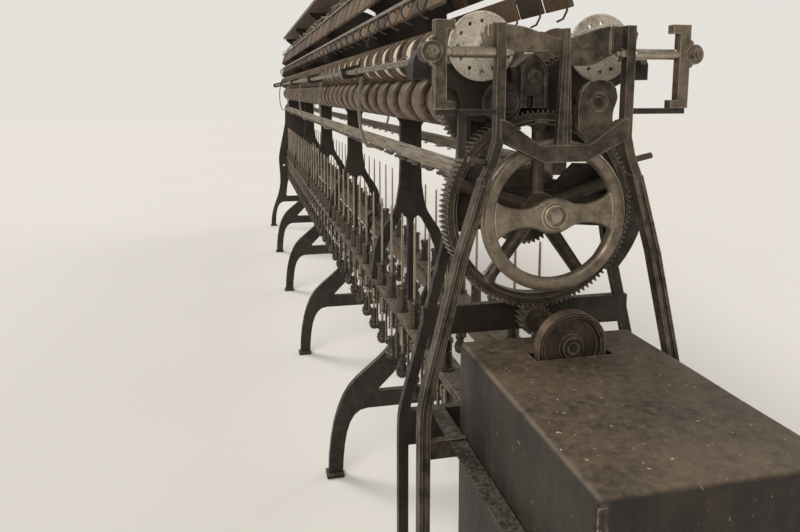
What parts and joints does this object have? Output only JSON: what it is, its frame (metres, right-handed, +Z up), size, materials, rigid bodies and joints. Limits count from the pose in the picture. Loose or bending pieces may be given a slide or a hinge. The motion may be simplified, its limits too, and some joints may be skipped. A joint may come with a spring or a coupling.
{
  "type": "silk throwing frame",
  "caption": "Long two-sided silk throwing frame: rows of upright spindles, wooden take-up rolls and bobbins on iron legs, with a geared head and handwheel.",
  "frame": {"origin": "on the floor in the middle of the machine's length and width", "axes": "+X across the machine, +Y from the geared head to the far end, +Z up"},
  "size_m": [0.584, 6.214, 1.808],
  "materials": {
    "leg_iron": "worn matt black paint over cast iron",
    "head_iron": "bare cast iron, speckled and greasy",
    "worn_steel": "worn bright steel",
    "dark_steel": "dull oiled steel",
    "roll_wood": "smooth worn hardwood",
    "bobbin_wood": "dark varnished hardwood",
    "rail_wood": "dusty bare wood",
    "board_wood": "old stained wood",
    "pale_disc": "mottled pale coating",
    "belt_hide": "oiled leather belting",
    "guard_sheet": "rusted sheet iron",
    "motor_paint": "dark enamel"
  },
  "bodies": {
    "frame": {"head_frame_front": "head_iron", "head_frame_rear": "head_iron", "leg_frame_1": "leg_iron", "leg_frame_2": "leg_iron", "leg_frame_3": "leg_iron", "leg_frame_4": "leg_iron", "end_frame": "leg_iron", "spindle_rail_left": "dark_steel", "spindle_rail_right": "dark_steel", "spindle_belt": "belt_hide", "pulley_brackets": "leg_iron", "roll_brackets": "leg_iron", "guide_rail_left": "rail_wood", "guide_rail_right": "rail_wood", "thread_eyes": "leg_iron", "guide_straps": "leg_iron", "upper_posts": "leg_iron", "creel_boards": "board_wood", "hook_rods": "worn_steel", "shelf_board": "board_wood", "idler_stud": "dark_steel", "outrigger_bearing": "head_iron", "drive_belt": "belt_hide", "drive_motor": "motor_paint", "guard_box": "guard_sheet", "bearers": "head_iron", "cross_head": "head_iron", "bearing_house": "head_iron", "end_brackets": "head_iron", "spacer_bolts": "dark_steel", "lower_links": "head_iron", "gear_guard": "head_iron"},
    "main_drive": {"main_shaft": "worn_steel", "large_gear": "head_iron", "handwheel": "head_iron", "change_gear": "head_iron"},
    "idler": {"idler_gear": "head_iron"},
    "roll_line_left": {"roll_shaft_left": "worn_steel", "rolls_left": "roll_wood", "roll_gear_left": "head_iron"},
    "roll_line_right": {"roll_shaft_right": "worn_steel", "rolls_right": "roll_wood", "roll_gear_right": "head_iron", "plate_cam": "head_iron"},
    "bobbin_line_left": {"bobbins_left": "bobbin_wood", "bobbin_shaft_left": "worn_steel", "end_disc_left": "pale_disc"},
    "bobbin_line_right": {"bobbins_right": "bobbin_wood", "bobbin_shaft_right": "worn_steel", "end_disc_right": "pale_disc"},
    "traverse_left": {"traverse_rod_left": "worn_steel"},
    "traverse_right": {"traverse_rod_right": "worn_steel"},
    "counter": {"countershaft": "worn_steel", "drive_pinion": "head_iron"},
    "rotor": {"motor_rotor": "worn_steel"},
    "pulley_head": {"belt_pulley_head": "leg_iron"},
    "pulley_end": {"belt_pulley_end": "leg_iron"},
    "spindle_a": {"spindle_1": "worn_steel"},
    "spindle_b": {"spindle_2": "worn_steel"},
    "spindle_c": {"spindle_3": "worn_steel"}
  },
  "joints": [
    {"name": "main_turn", "type": "hinge", "parent": "frame", "child": "main_drive", "pos_m": [0, -2.507, 1.08], "axis": [0, 1, 0], "continuous": true},
    {"name": "idler_turn", "type": "hinge", "parent": "frame", "child": "idler", "pos_m": [-0.07534, -2.507, 1.15952], "axis": [0, 1, 0], "continuous": true},
    {"name": "roll_left_turn", "type": "hinge", "parent": "frame", "child": "roll_line_left", "pos_m": [-0.0889, -2.507, 1.281], "axis": [0, 1, 0], "continuous": true},
    {"name": "roll_right_turn", "type": "hinge", "parent": "frame", "child": "roll_line_right", "pos_m": [0.0889, -2.507, 1.281], "axis": [0, 1, 0], "continuous": true},
    {"name": "bobbin_left_turn", "type": "hinge", "parent": "frame", "child": "bobbin_line_left", "pos_m": [-0.116, -2.507, 1.38], "axis": [0, 1, 0], "continuous": true},
    {"name": "bobbin_right_turn", "type": "hinge", "parent": "frame", "child": "bobbin_line_right", "pos_m": [0.116, -2.507, 1.38], "axis": [0, 1, 0], "continuous": true},
    {"name": "traverse_left_slide", "type": "slide", "parent": "frame", "child": "traverse_left", "axis": [0, 1, 0], "range_m": [-0.02, 0.02]},
    {"name": "traverse_right_slide", "type": "slide", "parent": "frame", "child": "traverse_right", "axis": [0, 1, 0], "range_m": [-0.02, 0.02]},
    {"name": "countershaft_turn", "type": "hinge", "parent": "frame", "child": "counter", "pos_m": [0, -2.507, 0.86728], "axis": [0, 1, 0], "continuous": true},
    {"name": "rotor_turn", "type": "hinge", "parent": "frame", "child": "rotor", "pos_m": [0, -2.507, 0.3], "axis": [0, 1, 0], "continuous": true},
    {"name": "pulley_head_turn", "type": "hinge", "parent": "frame", "child": "pulley_head", "pos_m": [0, -2.38206, 0.6], "axis": [0, 0, 1], "continuous": true},
    {"name": "pulley_end_turn", "type": "hinge", "parent": "frame", "child": "pulley_end", "pos_m": [0, 2.9733, 0.6], "axis": [0, 0, 1], "continuous": true},
    {"name": "spindle_1_spin", "type": "hinge", "parent": "frame", "child": "spindle_a", "pos_m": [-0.11, -2.31806, 0.6], "axis": [0, 0, 1], "continuous": true},
    {"name": "spindle_2_spin", "type": "hinge", "parent": "frame", "child": "spindle_b", "pos_m": [-0.11, -2.17369, 0.6], "axis": [0, 0, 1], "continuous": true},
    {"name": "spindle_3_spin", "type": "hinge", "parent": "frame", "child": "spindle_c", "pos_m": [-0.11, -2.02931, 0.6], "axis": [0, 0, 1], "continuous": true}
  ],
  "couplings": [
    {"joint": "idler_turn", "follows": "main_turn", "ratio": -2.2857},
    {"joint": "roll_left_turn", "follows": "main_turn", "ratio": 0.85714},
    {"joint": "roll_right_turn", "follows": "main_turn", "ratio": -0.85714},
    {"joint": "bobbin_left_turn", "follows": "main_turn", "ratio": -1.0775},
    {"joint": "bobbin_right_turn", "follows": "main_turn", "ratio": 1.0775},
    {"joint": "countershaft_turn", "follows": "main_turn", "ratio": -6.4444},
    {"joint": "rotor_turn", "follows": "main_turn", "ratio": -8.5926},
    {"joint": "pulley_end_turn", "follows": "pulley_head_turn", "ratio": 1},
    {"joint": "spindle_1_spin", "follows": "pulley_head_turn", "ratio": -9.74},
    {"joint": "spindle_2_spin", "follows": "pulley_head_turn", "ratio": -9.74},
    {"joint": "spindle_3_spin", "follows": "pulley_head_turn", "ratio": -9.74}
  ]
}
